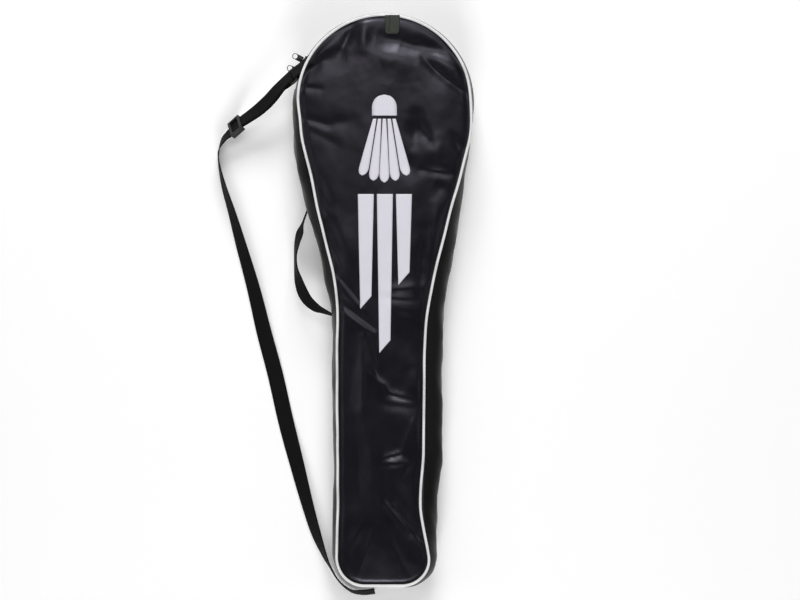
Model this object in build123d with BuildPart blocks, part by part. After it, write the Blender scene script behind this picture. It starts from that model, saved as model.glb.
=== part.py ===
from build123d import *
from math import atan2, cos, degrees, radians, sin
import os

os.makedirs("parts", exist_ok=True)

# A full-length badminton racket bag lying on its back, in millimetres.
# X runs across the bag, +Y towards the racket's head, +Z up from the back panel.
# The origin is the centre of the round head, on the plane the bag lies on.

# Case
bag_depth = 60.0  # back panel to front panel
wall = 2.0  # lined nylon
piping_radius = 2.0
seam_allowance = 2.2  # from the piping's centre line to a panel's edge
seam_gap = 0.4  # between a gusset's top edge and the front panel
bottom_y = -606.0
head_radius = 108.0  # piping centre line round the head
belly_radius = 112.0  # widest line of the gusset round the head
binding_width = 8.0
binding_thickness = 0.8

# Zip, which runs on a circle about the Z axis
zip_height = 31.0  # middle of the zip above the back plane
zip_window = 12.0  # tape showing between the two gusset strips
zip_start = -9.0  # degrees about Z from +X
zip_end = 172.0
tape_thickness = 0.6
coil_width = 2.4
coil_depth = 1.4
coil_gap = 1.2  # between the two closed halves, where the slider's web runs
tape_split = 148.9  # the front tape left of here stays with the case
slider_angles = {"right": 152.3, "left": 159.8}  # parked side by side
slider_arc = 6.2  # degrees, 12 mm long
slider_height = 9.0
slider_plate = 1.4
slider_clearance = 0.4

# The flap: the front of the head, folding about a line across the bag
fold_left = 156.0  # degrees about Z where the fold meets the gusset
fold_right = -9.6
fold_radius = 110.0
fold_gap = 0.4  # each side of the fold
flap_start = -8.3  # degrees, where the flap's strip begins

# Webbing
webbing_width = 20.0
webbing_thickness = 1.4
layer_gap = 0.4

# Shoulder strap: a straight doubled run from the ring to the adjuster, then one layer
ring_centre = Vector(-115.2, 31.9, 45.0)
straight_end = Vector(-197.5, -37.8, 9.5)
strap_roll = 50.0  # degrees, the edge nearer the bag is up
ring_pitch = 8.5  # between the ring's two bars
ring_wire = 3.0
ring_width = 27.0
strap_start = 8.0  # from the ring's centre along the strap
adjuster_place = 99.5
adjuster_length = 19.0
adjuster_width = 26.0

# Carry handle
handle_height = 31.0


def polar(radius, angle):
    """A point in plan at a radius and an angle in degrees about the head's centre."""
    return (radius * cos(radians(angle)), radius * sin(radians(angle)))


# The bag's two plan outlines. The head is an arc of 186 degrees. Each side leaves it
# straight on, then is a row of straight runs to the bottom corner, rounded where they meet.
seam_lead = 38.1  # length of the run straight on from the arc
seam_side = [(54.3, -239.0), (53.8, -440.0), (51.0, -508.0)]
seam_radii = [120.0, 380.0, 400.0, 200.0]
seam_corner = (61.5, bottom_y, 34.0)
belly_lead = 54.1
belly_side = [(69.0, -272.0), (68.5, -440.0), (65.0, -508.0)]
belly_radii = [120.0, 250.0, 400.0, 300.0]
belly_corner = (66.0, bottom_y - 3.0, 40.0)
head_arc_start = -3.0
head_arc_size = 186.0


def outline(belly, inset, head=True):
    """The closed plan line of the seam, or of the gusset's belly, moved inwards by inset.

    Without the head it is the open line down one side and up the other.
    """
    radius = (belly_radius if belly else head_radius) - inset
    side = belly_side if belly else seam_side
    radii = belly_radii if belly else seam_radii
    corner_x, corner_y, corner_radius = belly_corner if belly else seam_corner
    start_x, start_y = polar(radius, head_arc_start)
    lead_x, lead_y = polar(belly_lead if belly else seam_lead, head_arc_start - 90)
    right = [(start_x, start_y), (start_x + lead_x, start_y + lead_y)]
    right += [(x - inset, y) for x, y in side]
    right += [(corner_x - inset, corner_y + inset)]
    left = [(-x, y) for x, y in reversed(right)]
    rounds = radii + [corner_radius - inset]
    if head:
        CenterArc((0, 0), radius, head_arc_start, head_arc_size)
    FilletPolyline(*right, *left, radius=rounds + rounds[::-1])


def outline_face(belly, inset):
    """The same outline as a face, inside a BuildSketch block."""
    with BuildLine() as edge_line:
        outline(belly, inset)
    make_face(edge_line.edges())


def cutter(low_angle, high_angle):
    """A wedge about the Z axis that keeps what lies between two angles."""
    reach = 260.0
    with BuildPart() as wedge:
        with BuildSketch(Plane.XY.offset(-20)):
            with BuildLine():
                start = polar(reach, low_angle)
                finish = polar(reach, high_angle)
                Line((0, 0), start)
                CenterArc((0, 0), reach, low_angle, high_angle - low_angle)
                Line(finish, (0, 0))
            make_face()
        extrude(amount=bag_depth + 60)
    return wedge.part


# The fold is a vertical plane through two points of the gusset. A cutter on each side
# of it divides what crosses the fold into the flap's part and the case's part.
fold_a = Vector(*polar(fold_radius, fold_left))
fold_b = Vector(*polar(fold_radius, fold_right))
fold_angle = degrees(atan2(fold_b.Y - fold_a.Y, fold_b.X - fold_a.X))
fold_middle = (fold_a + fold_b) * 0.5
fold_plane = Plane(
    origin=(fold_middle.X, fold_middle.Y, bag_depth / 2),
    x_dir=(cos(radians(fold_angle)), sin(radians(fold_angle)), 0),
    z_dir=(0, 0, 1),
)
half_space = 1400.0
with BuildPart() as flap_cutter:
    with Locations(fold_plane.location * Pos(0, fold_gap + half_space / 2, 0)):
        Box(half_space, half_space, 200)
with BuildPart() as case_cutter:
    with Locations(fold_plane.location * Pos(0, -fold_gap - half_space / 2, 0)):
        Box(half_space, half_space, 200)
flap_side = flap_cutter.part
case_side = case_cutter.part


def save(builder, label):
    """Name a finished piece and write it."""
    builder.part.label = label
    export_step(builder.part, f"parts/{label}.step")


def kept(whole, label, *regions):
    """The part of a piece that lies inside every region given, named and written."""
    with BuildPart() as piece:
        add(whole)
        for region in regions:
            add(region, mode=Mode.INTERSECT)
    save(piece, label)


# Panels
panel_low = 0.0
panel_high = bag_depth - wall
with BuildPart() as back_panel:
    with BuildSketch(Plane.XY.offset(panel_low)):
        outline_face(False, seam_allowance)
    extrude(amount=wall)
save(back_panel, "back_panel")

with BuildPart() as front_sheet:
    with BuildSketch(Plane.XY.offset(panel_high)):
        outline_face(False, seam_allowance)
    extrude(amount=wall)
kept(front_sheet.part, "front_panel", case_side)
kept(front_sheet.part, "front_flap", flap_side)


# Seam bindings: a flat tape over the raw edges inside each seam
def binding(height):
    """A closed band just inside the seam, lying on a panel's inner face."""
    with BuildPart() as band:
        with BuildSketch(Plane.XY.offset(height)):
            outline_face(False, seam_allowance + 0.2)
        extrude(amount=binding_thickness)
        with BuildSketch(Plane.XY.offset(height)):
            outline_face(False, seam_allowance + 0.2 + binding_width)
        extrude(amount=binding_thickness, mode=Mode.SUBTRACT)
    return band


save(binding(wall), "binding_back")
front_binding = binding(panel_high - binding_thickness).part
kept(front_binding, "binding_front", case_side)
kept(front_binding, "binding_flap", flap_side)


# Piping: a cord covered in nylon, sewn into each panel's seam
def piping(height):
    """A round cord along the seam line at a height, as the head's arc and the sides."""
    with BuildLine(Plane.XY.offset(height)) as head_path:
        CenterArc((0, 0), head_radius, head_arc_start, head_arc_size)
    with BuildLine(Plane.XY.offset(height)) as side_path:
        outline(False, 0, head=False)
    with BuildPart() as cord:
        for path in (head_path.line, side_path.line):
            with BuildSketch(Plane(origin=path @ 0, z_dir=path % 0)):
                Circle(piping_radius)
            sweep(path=path)
    return cord


save(piping(piping_radius), "piping_back")
front_cord = piping(bag_depth).part
kept(front_cord, "piping_front", case_side)
kept(front_cord, "piping_flap", flap_side)

# Gusset: a wall that leans out from each seam to a straight belly at the zip's height
gusset_low = 2 * piping_radius + 0.2
gusset_high = panel_high - seam_gap
belly_low = zip_height - zip_window / 2
belly_high = zip_height + zip_window / 2
gusset_levels = [(gusset_low, False), (belly_low, True), (belly_high, True), (gusset_high, False)]
with BuildPart() as envelope:
    for height, belly in gusset_levels:
        with BuildSketch(Plane.XY.offset(height)):
            outline_face(belly, 0)
    loft(ruled=True)
with BuildPart() as gusset_core:
    for height, belly in gusset_levels:
        with BuildSketch(Plane.XY.offset(height)):
            outline_face(belly, wall)
    loft(ruled=True)
with BuildPart() as gusset_body:
    add(envelope.part)
    add(gusset_core.part, mode=Mode.SUBTRACT)
    add(cutter(zip_start, zip_end), mode=Mode.SUBTRACT)
save(gusset_body, "gusset_body")


def strip(seam_height, belly_height):
    """One gusset strip round the head, between a seam and the zip, as a full ring."""
    with BuildPart() as ring:
        with BuildSketch(Plane.XZ):
            with BuildLine():
                Polyline(
                    (head_radius, seam_height),
                    (belly_radius, belly_height),
                    (belly_radius - wall, belly_height),
                    (head_radius - wall, seam_height),
                    close=True,
                )
            make_face()
        revolve(axis=Axis.Z)
    return ring.part


zip_sector = cutter(zip_start, zip_end)
flap_sector = cutter(flap_start, zip_end)
kept(strip(gusset_low, belly_low), "gusset_strip_back", zip_sector)
front_strip = strip(gusset_high, belly_high)
kept(front_strip, "gusset_strip_flap", flap_sector, flap_side)
kept(front_strip, "gusset_strip_end", zip_sector, case_side)


def band(inner_radius, outer_radius, low, high):
    """A ring of rectangular section about the Z axis."""
    with BuildPart() as ring:
        with BuildSketch(Plane.XY.offset(low)):
            Circle(outer_radius)
            Circle(inner_radius, mode=Mode.SUBTRACT)
        extrude(amount=high - low)
    return ring.part


# Zip: two woven tapes, each with a nylon coil on its outer face
tape_outer = belly_radius - 0.2
tape_inner = tape_outer - tape_thickness
coil_outer = tape_outer + coil_depth
coil_edge = coil_gap / 2
tape_back = band(tape_inner, tape_outer, belly_low, zip_height - coil_edge - 0.2)
tape_front = band(tape_inner, tape_outer, zip_height + coil_edge + 0.2, belly_high)
coil_back = band(tape_outer, coil_outer, zip_height - coil_edge - coil_width, zip_height - coil_edge)
coil_front = band(tape_outer, coil_outer, zip_height + coil_edge, zip_height + coil_edge + coil_width)
stop_size = 1.0
coil_sector = cutter(zip_start + stop_size, zip_end - stop_size)
kept(tape_back, "zip_tape_back", zip_sector)
kept(coil_back, "zip_coil_back", coil_sector)
kept(tape_front, "zip_tape_flap", cutter(flap_start, tape_split - 0.2))
kept(coil_front, "zip_coil_flap", cutter(zip_start + stop_size, tape_split - 0.2))
kept(tape_front, "zip_tape_end", cutter(tape_split, zip_end))
kept(coil_front, "zip_coil_end", cutter(tape_split, zip_end - stop_size))

# Zip end stops: a small crimped block across the coil at each end
stop_height = 4.4
stop_ring = band(tape_outer + 0.1, coil_outer + 0.2, zip_height - stop_height, zip_height)
with BuildPart() as stop_sectors:
    add(cutter(zip_start + 0.1, zip_start + stop_size - 0.1))
    add(cutter(zip_end - stop_size + 0.1, zip_end - 0.1))
kept(stop_ring, "zip_stops", stop_sectors.part)

# Zip end covers: a nylon patch over each end of the tapes, on the gusset's outer face
patch_thickness = 0.8
patch_arc = 3.6
with BuildPart() as cover_sheet:
    with BuildSketch(Plane.XY.offset(belly_low)):
        outline_face(True, -0.1 - patch_thickness)
    extrude(amount=zip_window)
    with BuildSketch(Plane.XY.offset(belly_low)):
        outline_face(True, -0.1)
    extrude(amount=zip_window, mode=Mode.SUBTRACT)
kept(cover_sheet.part, "zip_cover_right", cutter(zip_start - patch_arc, zip_start - 0.2))
kept(cover_sheet.part, "zip_cover_left", cutter(zip_end + 0.2, zip_end + patch_arc))

# Sliders: an inner and an outer plate joined by a web between the coils, and a bail
inner_plate_outer = tape_inner - slider_clearance
outer_plate_inner = coil_outer + slider_clearance
plate_face = outer_plate_inner + slider_plate
bail_height = 3.4
bail_bar = 1.0
bail_length = 4.6
bail_width = 2.6
web_thickness = 0.6
pivot_radius = plate_face + 1.1


def slider(angle, nose):
    """A slider parked at an angle; nose is the side its web is on, +1 anticlockwise."""
    low = zip_height - slider_height / 2
    high = zip_height + slider_height / 2
    body_sector = cutter(angle - slider_arc / 2, angle + slider_arc / 2)
    web_ends = sorted([angle + nose * 0.5, angle + nose * slider_arc / 2])
    web_low = zip_height - web_thickness / 2
    with BuildPart() as web:
        add(band(inner_plate_outer, outer_plate_inner, web_low, web_low + web_thickness))
        add(cutter(*web_ends), mode=Mode.INTERSECT)
    out = Vector(*polar(1, angle), 0)
    bail_plane = Plane(origin=out * plate_face + Vector(0, 0, zip_height), x_dir=(0, 0, 1), z_dir=out)
    with BuildPart() as body:
        add(band(inner_plate_outer - slider_plate, inner_plate_outer, low, high))
        add(band(outer_plate_inner, plate_face, low, high))
        add(body_sector, mode=Mode.INTERSECT)
        add(web.part)
        with BuildSketch(bail_plane.offset(-0.3)):
            Rectangle(bail_width, bail_length)
        extrude(amount=bail_height + 0.3)
        with BuildSketch(bail_plane):
            Rectangle(bail_width + 1, bail_length - 2 * bail_bar)
        extrude(amount=bail_height - bail_bar, mode=Mode.SUBTRACT)
    return body


save(slider(slider_angles["right"], 1), "slider_right")
save(slider(slider_angles["left"], -1), "slider_left")

# Pulls: a wire link through the bail, a short moulded tab on it, and a ring in its end
link_wire = 1.2
link_height = 7.0
link_reach = 5.0
tab_start = 3.6  # from the pivot
tab_length = 5.2
tab_root = 5.0
tab_width = 8.0
tab_thickness = 2.0
eyelet_radius = 3.4
eyelet_wire = 0.55
link_hole = 0.95


def pull(side):
    """The three pieces of one pull, pointing straight out from the head's centre."""
    out = Vector(*polar(1, slider_angles[side]), 0)
    pivot = out * pivot_radius + Vector(0, 0, zip_height)
    flat = Plane(origin=pivot, x_dir=out, z_dir=(0, 0, 1))
    upright = Plane(origin=pivot, x_dir=out, z_dir=out.cross(Vector(0, 0, 1)))
    with BuildPart() as link:
        with BuildLine(upright) as path:
            FilletPolyline(
                (0, link_height / 2),
                (0, -link_height / 2),
                (link_reach, -link_height / 2),
                (link_reach, link_height / 2),
                radius=1.0,
                close=True,
            )
        with BuildSketch(Plane(origin=path.line @ 0, z_dir=path.line % 0)):
            Circle(link_wire / 2)
        sweep(path=path.line)
    save(link, f"pull_link_{side}")
    eyelet_place = tab_start + tab_length + 1.8
    with BuildPart() as eyelet:
        with Locations(flat.location * Pos(eyelet_place, 0, 0)):
            Torus(eyelet_radius, eyelet_wire)
    save(eyelet, f"pull_ring_{side}")
    with BuildPart() as tab:
        with BuildSketch(flat.offset(-tab_thickness / 2)):
            with BuildLine():
                FilletPolyline(
                    (tab_start, -tab_root / 2),
                    (tab_start, tab_root / 2),
                    (eyelet_place - eyelet_radius, tab_width / 2),
                    (tab_start + tab_length, tab_width / 2),
                    (tab_start + tab_length, -tab_width / 2),
                    (eyelet_place - eyelet_radius, -tab_width / 2),
                    radius=0.8,
                    close=True,
                )
            make_face()
            with Locations((eyelet_place, 0)):
                Circle(eyelet_radius, mode=Mode.SUBTRACT)
            with Locations((link_reach, 0)):
                Circle(link_hole, mode=Mode.SUBTRACT)
        extrude(amount=tab_thickness)
        add(eyelet.part, mode=Mode.SUBTRACT)
    save(tab, f"pull_tab_{side}")


pull("right")
pull("left")

# The hanging loop: webbing folded over itself at the top of the front panel
loop_leg = 9.6
loop_length = 20.0
loop_x = 10.0
loop_top = head_radius - piping_radius - 2.5
with BuildPart() as hang_loop:
    with BuildSketch(Plane.XY.offset(bag_depth + 0.1)):
        with Locations((loop_x, loop_top - loop_length / 2)):
            with GridLocations(loop_leg + 0.4, 1, 2, 1):
                Rectangle(loop_leg, loop_length)
    extrude(amount=webbing_thickness)
    with BuildSketch(Plane.XY.offset(bag_depth + 0.1)):
        with Locations((loop_x, loop_top - loop_length + 2)):
            Rectangle(2 * loop_leg + 0.4, 4)
    extrude(amount=2 * webbing_thickness)
save(hang_loop, "hang_loop")

# The strap's own plane: x along the straight run, y across the webbing, z its face
along = (straight_end - ring_centre).normalized()
level = Vector(0, 0, 1).cross(along).normalized()
above = along.cross(level)
across = level * cos(radians(strap_roll)) + above * sin(radians(strap_roll))
face = above * cos(radians(strap_roll)) - level * sin(radians(strap_roll))
strap_plane = Plane(origin=ring_centre, x_dir=along, z_dir=face)
straight_length = (straight_end - ring_centre).length

# Ring: a rectangular loop of wire between the tab and the strap
with BuildPart() as loop_ring:
    ring_side = (ring_width - ring_wire) / 2
    with BuildLine(strap_plane) as ring_path:
        FilletPolyline(
            (-ring_pitch / 2, ring_side),
            (-ring_pitch / 2, -ring_side),
            (ring_pitch / 2, -ring_side),
            (ring_pitch / 2, ring_side),
            radius=2.0,
            close=True,
        )
    with BuildSketch(Plane(origin=ring_path.line @ 0, z_dir=ring_path.line % 0)):
        Circle(ring_wire / 2)
    sweep(path=ring_path.line)
save(loop_ring, "loop_ring")

# Strap tab: a doubled webbing loop from the gusset round the ring's first bar
tab_reach = 26.0
loop_bore = ring_wire / 2 + 0.4
loop_outside = loop_bore + webbing_thickness
tab_thickness_doubled = 2 * webbing_thickness + layer_gap
side_plane = Plane(
    origin=strap_plane.from_local_coords(Vector(0, -webbing_width / 2, 0)),
    x_dir=along,
    z_dir=across,
)
with BuildPart() as strap_tab:
    with BuildSketch(side_plane):
        with Locations((-ring_pitch / 2 - tab_reach / 2, 0)):
            Rectangle(tab_reach, tab_thickness_doubled)
        with Locations((-ring_pitch / 2, 0)):
            Circle(loop_outside)
            Circle(loop_bore, mode=Mode.SUBTRACT)
    extrude(amount=webbing_width)
    add(envelope.part, mode=Mode.SUBTRACT)
    with BuildSketch(Plane.XY.offset(gusset_high - 1)):
        Circle(head_radius + piping_radius + 0.4)
    extrude(amount=2 * webbing_width, mode=Mode.SUBTRACT)
    add(case_side, mode=Mode.INTERSECT)
save(strap_tab, "strap_tab")


def webbing(stations):
    """A strip of webbing through stations of (x, y, z, roll, width)."""
    places = [Vector(x, y, z) for x, y, z, roll, width in stations]
    with BuildPart() as strip_of_webbing:
        for i, (x, y, z, roll, width) in enumerate(stations):
            before = places[max(i - 1, 0)]
            after = places[min(i + 1, len(places) - 1)]
            heading = (after - before).normalized()
            level = Vector(-heading.Y, heading.X, 0).normalized()
            up = heading.cross(level)
            wide = level * cos(radians(roll)) + up * sin(radians(roll))
            with BuildSketch(Plane(origin=places[i], x_dir=wide, z_dir=heading)):
                Rectangle(width, webbing_thickness)
        loft(ruled=True)
    return strip_of_webbing


def resting(roll):
    """Height of the webbing's middle when it lies on the floor at a roll."""
    half = webbing_width / 2
    return half * sin(radians(roll)) + webbing_thickness / 2 * cos(radians(roll)) + 0.2


# Shoulder strap, on from the adjuster: round a bend on its edge, along the floor, and
# up on its edge again at the bag's corner
strap_plan = [
    (-206.3, -61.0, 86),
    (-206.0, -76.0, 84),
    (-199.4, -104.0, 72),
    (-189.5, -138.0, 60),
    (-178.0, -180.0, 45),
    (-163.0, -234.0, 30),
    (-150.0, -290.0, 14),
    (-136.0, -344.0, 5),
    (-122.5, -404.0, 5),
    (-108.0, -459.0, 25),
    (-94.0, -508.0, 45),
    (-82.0, -545.0, 60),
    (-74.0, -565.0, 72),
]
strap_first = strap_plane.from_local_coords(Vector(strap_start, 0, 0))
strap_knee = strap_plane.from_local_coords(Vector(straight_length - 1.5, 0, 0))
stations = [(p.X, p.Y, p.Z, strap_roll, webbing_width) for p in (strap_first, strap_knee)]
stations += [(-202.6, -49.0, 11.2, 70, webbing_width)]
stations += [(x, y, resting(roll), roll, webbing_width) for x, y, roll in strap_plan]
with BuildPart() as strap_straight:
    with BuildSketch(strap_plane.offset(-webbing_thickness / 2)):
        with Locations(((strap_start + straight_length - 1.5) / 2, 0)):
            Rectangle(straight_length - 1.5 - strap_start, webbing_width)
    extrude(amount=webbing_thickness)
strap_run = webbing(stations[1:])
with BuildPart() as strap_webbing:
    add(strap_straight.part)
    add(strap_run.part)
save(strap_webbing, "strap_webbing")

# The strap's folded-back end, on top of the straight run
return_start = 14.0
return_length = adjuster_place + 4.0 - return_start
with BuildPart() as strap_return:
    with BuildSketch(strap_plane.offset(webbing_thickness / 2 + layer_gap)):
        with Locations((return_start + return_length / 2, 0)):
            Rectangle(return_length, webbing_width)
    extrude(amount=webbing_thickness)
save(strap_return, "strap_return")

# Adjuster: two end bars above the webbing, a centre bar below it, and two side rails
bar_width = 3.4
bar_thickness = 1.8
bar_clearance = 0.35
stack_low = -webbing_thickness / 2 - bar_clearance
stack_high = webbing_thickness * 1.5 + layer_gap + bar_clearance
rail_width = (adjuster_width - webbing_width) / 2 - bar_clearance
with BuildPart() as adjuster:
    with BuildSketch(strap_plane.offset(stack_high)):
        with Locations((adjuster_place, 0)):
            with GridLocations(adjuster_length - bar_width, 1, 2, 1):
                Rectangle(bar_width, adjuster_width)
    extrude(amount=bar_thickness)
    with BuildSketch(strap_plane.offset(stack_low - bar_thickness)):
        with Locations((adjuster_place, 0)):
            Rectangle(bar_width, adjuster_width)
    extrude(amount=bar_thickness)
    with BuildSketch(strap_plane.offset(stack_low - bar_thickness)):
        with Locations((adjuster_place, 0)):
            with GridLocations(1, adjuster_width - rail_width, 1, 2):
                Rectangle(adjuster_length, rail_width)
    extrude(amount=stack_high - stack_low + 2 * bar_thickness)
save(adjuster, "adjuster")

# The strap's sewn end, from the bag's corner round to the end wall
anchor_plan = [
    (-71.5, -571.5, 76),
    (-66.5, -583.0, 82),
    (-55.5, -600.0, 84),
    (-41.0, -611.5, 82),
    (-26.0, -614.2, 76),
    (-12.0, -613.8, 76),
]
strap_anchor = webbing([(x, y, resting(roll) + 2.5, roll, webbing_width) for x, y, roll in anchor_plan])
save(strap_anchor, "strap_anchor")

# Carry handle: webbing whose ends are folded narrow where they meet the gusset
handle_plan = [
    (-104.6, -158.0, 74, 9.0),
    (-109.0, -175.0, 74, 18.0),
    (-111.9, -193.0, 78, 20.0),
    (-111.0, -210.0, 76, 20.0),
    (-107.5, -226.0, 64, 20.0),
    (-102.0, -241.0, 52, 18.0),
    (-91.5, -254.5, 50, 9.0),
]
handle = webbing([(x, y, handle_height, roll, width) for x, y, roll, width in handle_plan])
save(handle, "handle")
upper_end = [(-97.6, -134.0, 84, 9.0), (-99.3, -142.0, 80, 9.0), (-103.4, -153.5, 74, 9.0)]
lower_end = [(-87.5, -257.5, 52, 9.0), (-78.0, -262.5, 60, 9.0), (-72.5, -268.5, 84, 9.0)]
for name, plan in (("handle_end_upper", upper_end), ("handle_end_lower", lower_end)):
    end = webbing([(x, y, handle_height, roll, width) for x, y, roll, width in plan])
    with BuildPart() as handle_end:
        add(end.part)
        add(envelope.part, mode=Mode.SUBTRACT)
    save(handle_end, name)
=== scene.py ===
from math import atan2, cos, pi, radians, sin, tan

import bmesh
import bpy
import numpy as np
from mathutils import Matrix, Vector, noise


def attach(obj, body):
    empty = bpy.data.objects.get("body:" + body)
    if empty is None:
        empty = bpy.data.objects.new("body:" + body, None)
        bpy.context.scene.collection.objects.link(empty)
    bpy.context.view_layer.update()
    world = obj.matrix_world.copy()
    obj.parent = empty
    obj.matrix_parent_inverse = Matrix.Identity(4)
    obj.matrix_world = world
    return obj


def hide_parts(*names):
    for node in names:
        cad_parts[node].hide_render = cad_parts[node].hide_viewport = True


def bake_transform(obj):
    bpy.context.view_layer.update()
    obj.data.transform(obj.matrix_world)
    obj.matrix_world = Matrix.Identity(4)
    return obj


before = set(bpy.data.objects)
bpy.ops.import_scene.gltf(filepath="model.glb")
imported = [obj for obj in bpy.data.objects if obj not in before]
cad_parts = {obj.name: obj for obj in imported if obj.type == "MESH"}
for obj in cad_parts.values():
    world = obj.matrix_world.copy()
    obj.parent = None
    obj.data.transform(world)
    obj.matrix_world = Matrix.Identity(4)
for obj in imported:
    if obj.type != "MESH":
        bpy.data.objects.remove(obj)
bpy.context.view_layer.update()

# ---------------------------------------------------------------------------------------
# FRONT PANEL. One piece of glossy coated nylon, cut to the racket's outline and sewn all
# round between the gusset and the piping. Its head folds back as the flap, so the panel
# is a single cloth across the fold, and it puffs and creases because nothing stiffens it.
HEAD_RADIUS = 0.108
HEAD_DIP = radians(-3)  # the head's arc runs on this far below the bag's widest line
SEAM_RUN = [
    (0.1059, -0.0437),
    (0.0552, -0.2480),
    (0.0538, -0.440),
    (0.0510, -0.508),
    (0.0615, -0.606),
]
SEAM_ROUNDS = [0.120, 0.380, 0.400, 0.200, 0.034]
BELLY_RADIUS = 0.112
BELLY_RUN = [
    (0.1090, -0.0598),
    (0.0690, -0.272),
    (0.0685, -0.440),
    (0.0650, -0.508),
    (0.0660, -0.609),
]
BELLY_ROUNDS = [0.120, 0.250, 0.400, 0.300, 0.040]
HEAD_STEPS = 64
SIDE_STEPS = 200
ROUND_STEPS = 24
SEAM_HEIGHT = 0.060


def rounded_run(corners, rounds):
    """Points along straight runs whose inner corners are rounded, each rounded corner in ROUND_STEPS
    points.
    """
    points = [np.array(corners[0])]
    for before, corner, after, radius in zip(corners, corners[1:], corners[2:], rounds):
        corner = np.array(corner)
        back = np.array(before) - corner
        on = np.array(after) - corner
        back /= np.linalg.norm(back)
        on /= np.linalg.norm(on)
        half = np.arccos(np.clip(back @ on, -1, 1)) / 2
        trim = radius / tan(half)
        start = corner + back * trim
        end = corner + on * trim
        centre = corner + (back + on) / np.linalg.norm(back + on) * radius / sin(half)
        a, b = start - centre, end - centre
        turn = atan2(a[0] * b[1] - a[1] * b[0], a @ b)
        for step in np.linspace(0, 1, ROUND_STEPS):
            c, s = cos(turn * step), sin(turn * step)
            points.append(centre + np.array([a[0] * c - a[1] * s, a[0] * s + a[1] * c]))
    points.append(np.array(corners[-1]))
    return np.array(points)


def even(points, count):
    """The same line as count points at even spacing."""
    lengths = np.concatenate([[0], np.cumsum(np.linalg.norm(np.diff(points, axis=0), axis=1))])
    wanted = np.linspace(0, lengths[-1], count)
    return np.stack([np.interp(wanted, lengths, points[:, i]) for i in (0, 1)], axis=1)


def outline(radius, run, rounds):
    """The closed plan line from the top of the head, clockwise, in step at seam and belly."""
    angles = np.linspace(pi / 2, HEAD_DIP, HEAD_STEPS)
    head = np.stack([np.cos(angles), np.sin(angles)], axis=1) * radius
    corners = [tuple(head[-1])] + list(run) + [(0.0, run[-1][1])]
    side = even(rounded_run(corners, rounds), SIDE_STEPS)
    right = np.concatenate([head, side[1:]])
    left = right[::-1][1:-1] * [-1, 1]
    return np.concatenate([right, left])


def ease(value, start, end):
    """0 before start, 1 after end, smooth between."""
    t = np.clip((np.asarray(value, float) - start) / (end - start), 0, 1)
    return t * t * (3 - 2 * t)


def panel_lean(y):
    """How far the front panel has slid to one side, which bares more of the other wall."""
    down = -y
    lean = 0.0022 * ease(down, -0.01, 0.035) * (1 - ease(down, 0.085, 0.150))
    lean = lean - 0.0044 * ease(down, 0.205, 0.330) - 0.0018 * ease(down, 0.44, 0.49)
    return lean + 0.0052 * ease(down, 0.50, 0.59)


def gusset_lean(x, y):
    """How far the walls have slumped sideways, the left one also out below the head."""
    down = -y
    slump = 0.0044 * ease(down, 0.10, 0.27) - 0.0040 * ease(down, 0.45, 0.52)
    slump += 0.0020 * ease(down, 0.54, 0.60)
    bulge = 0.0046 * ease(-x, 0.03, 0.09)
    bulge = bulge * ease(y, -0.20, -0.06) * (1 - ease(y, -0.03, 0.028))
    return slump - bulge


seam_line = outline(HEAD_RADIUS, SEAM_RUN, SEAM_ROUNDS)
belly_line = outline(BELLY_RADIUS, BELLY_RUN, BELLY_ROUNDS)
front_seam = seam_line + np.stack([panel_lean(seam_line[:, 1]), 0 * seam_line[:, 1]], axis=1)
LOOP = len(seam_line)

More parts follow.
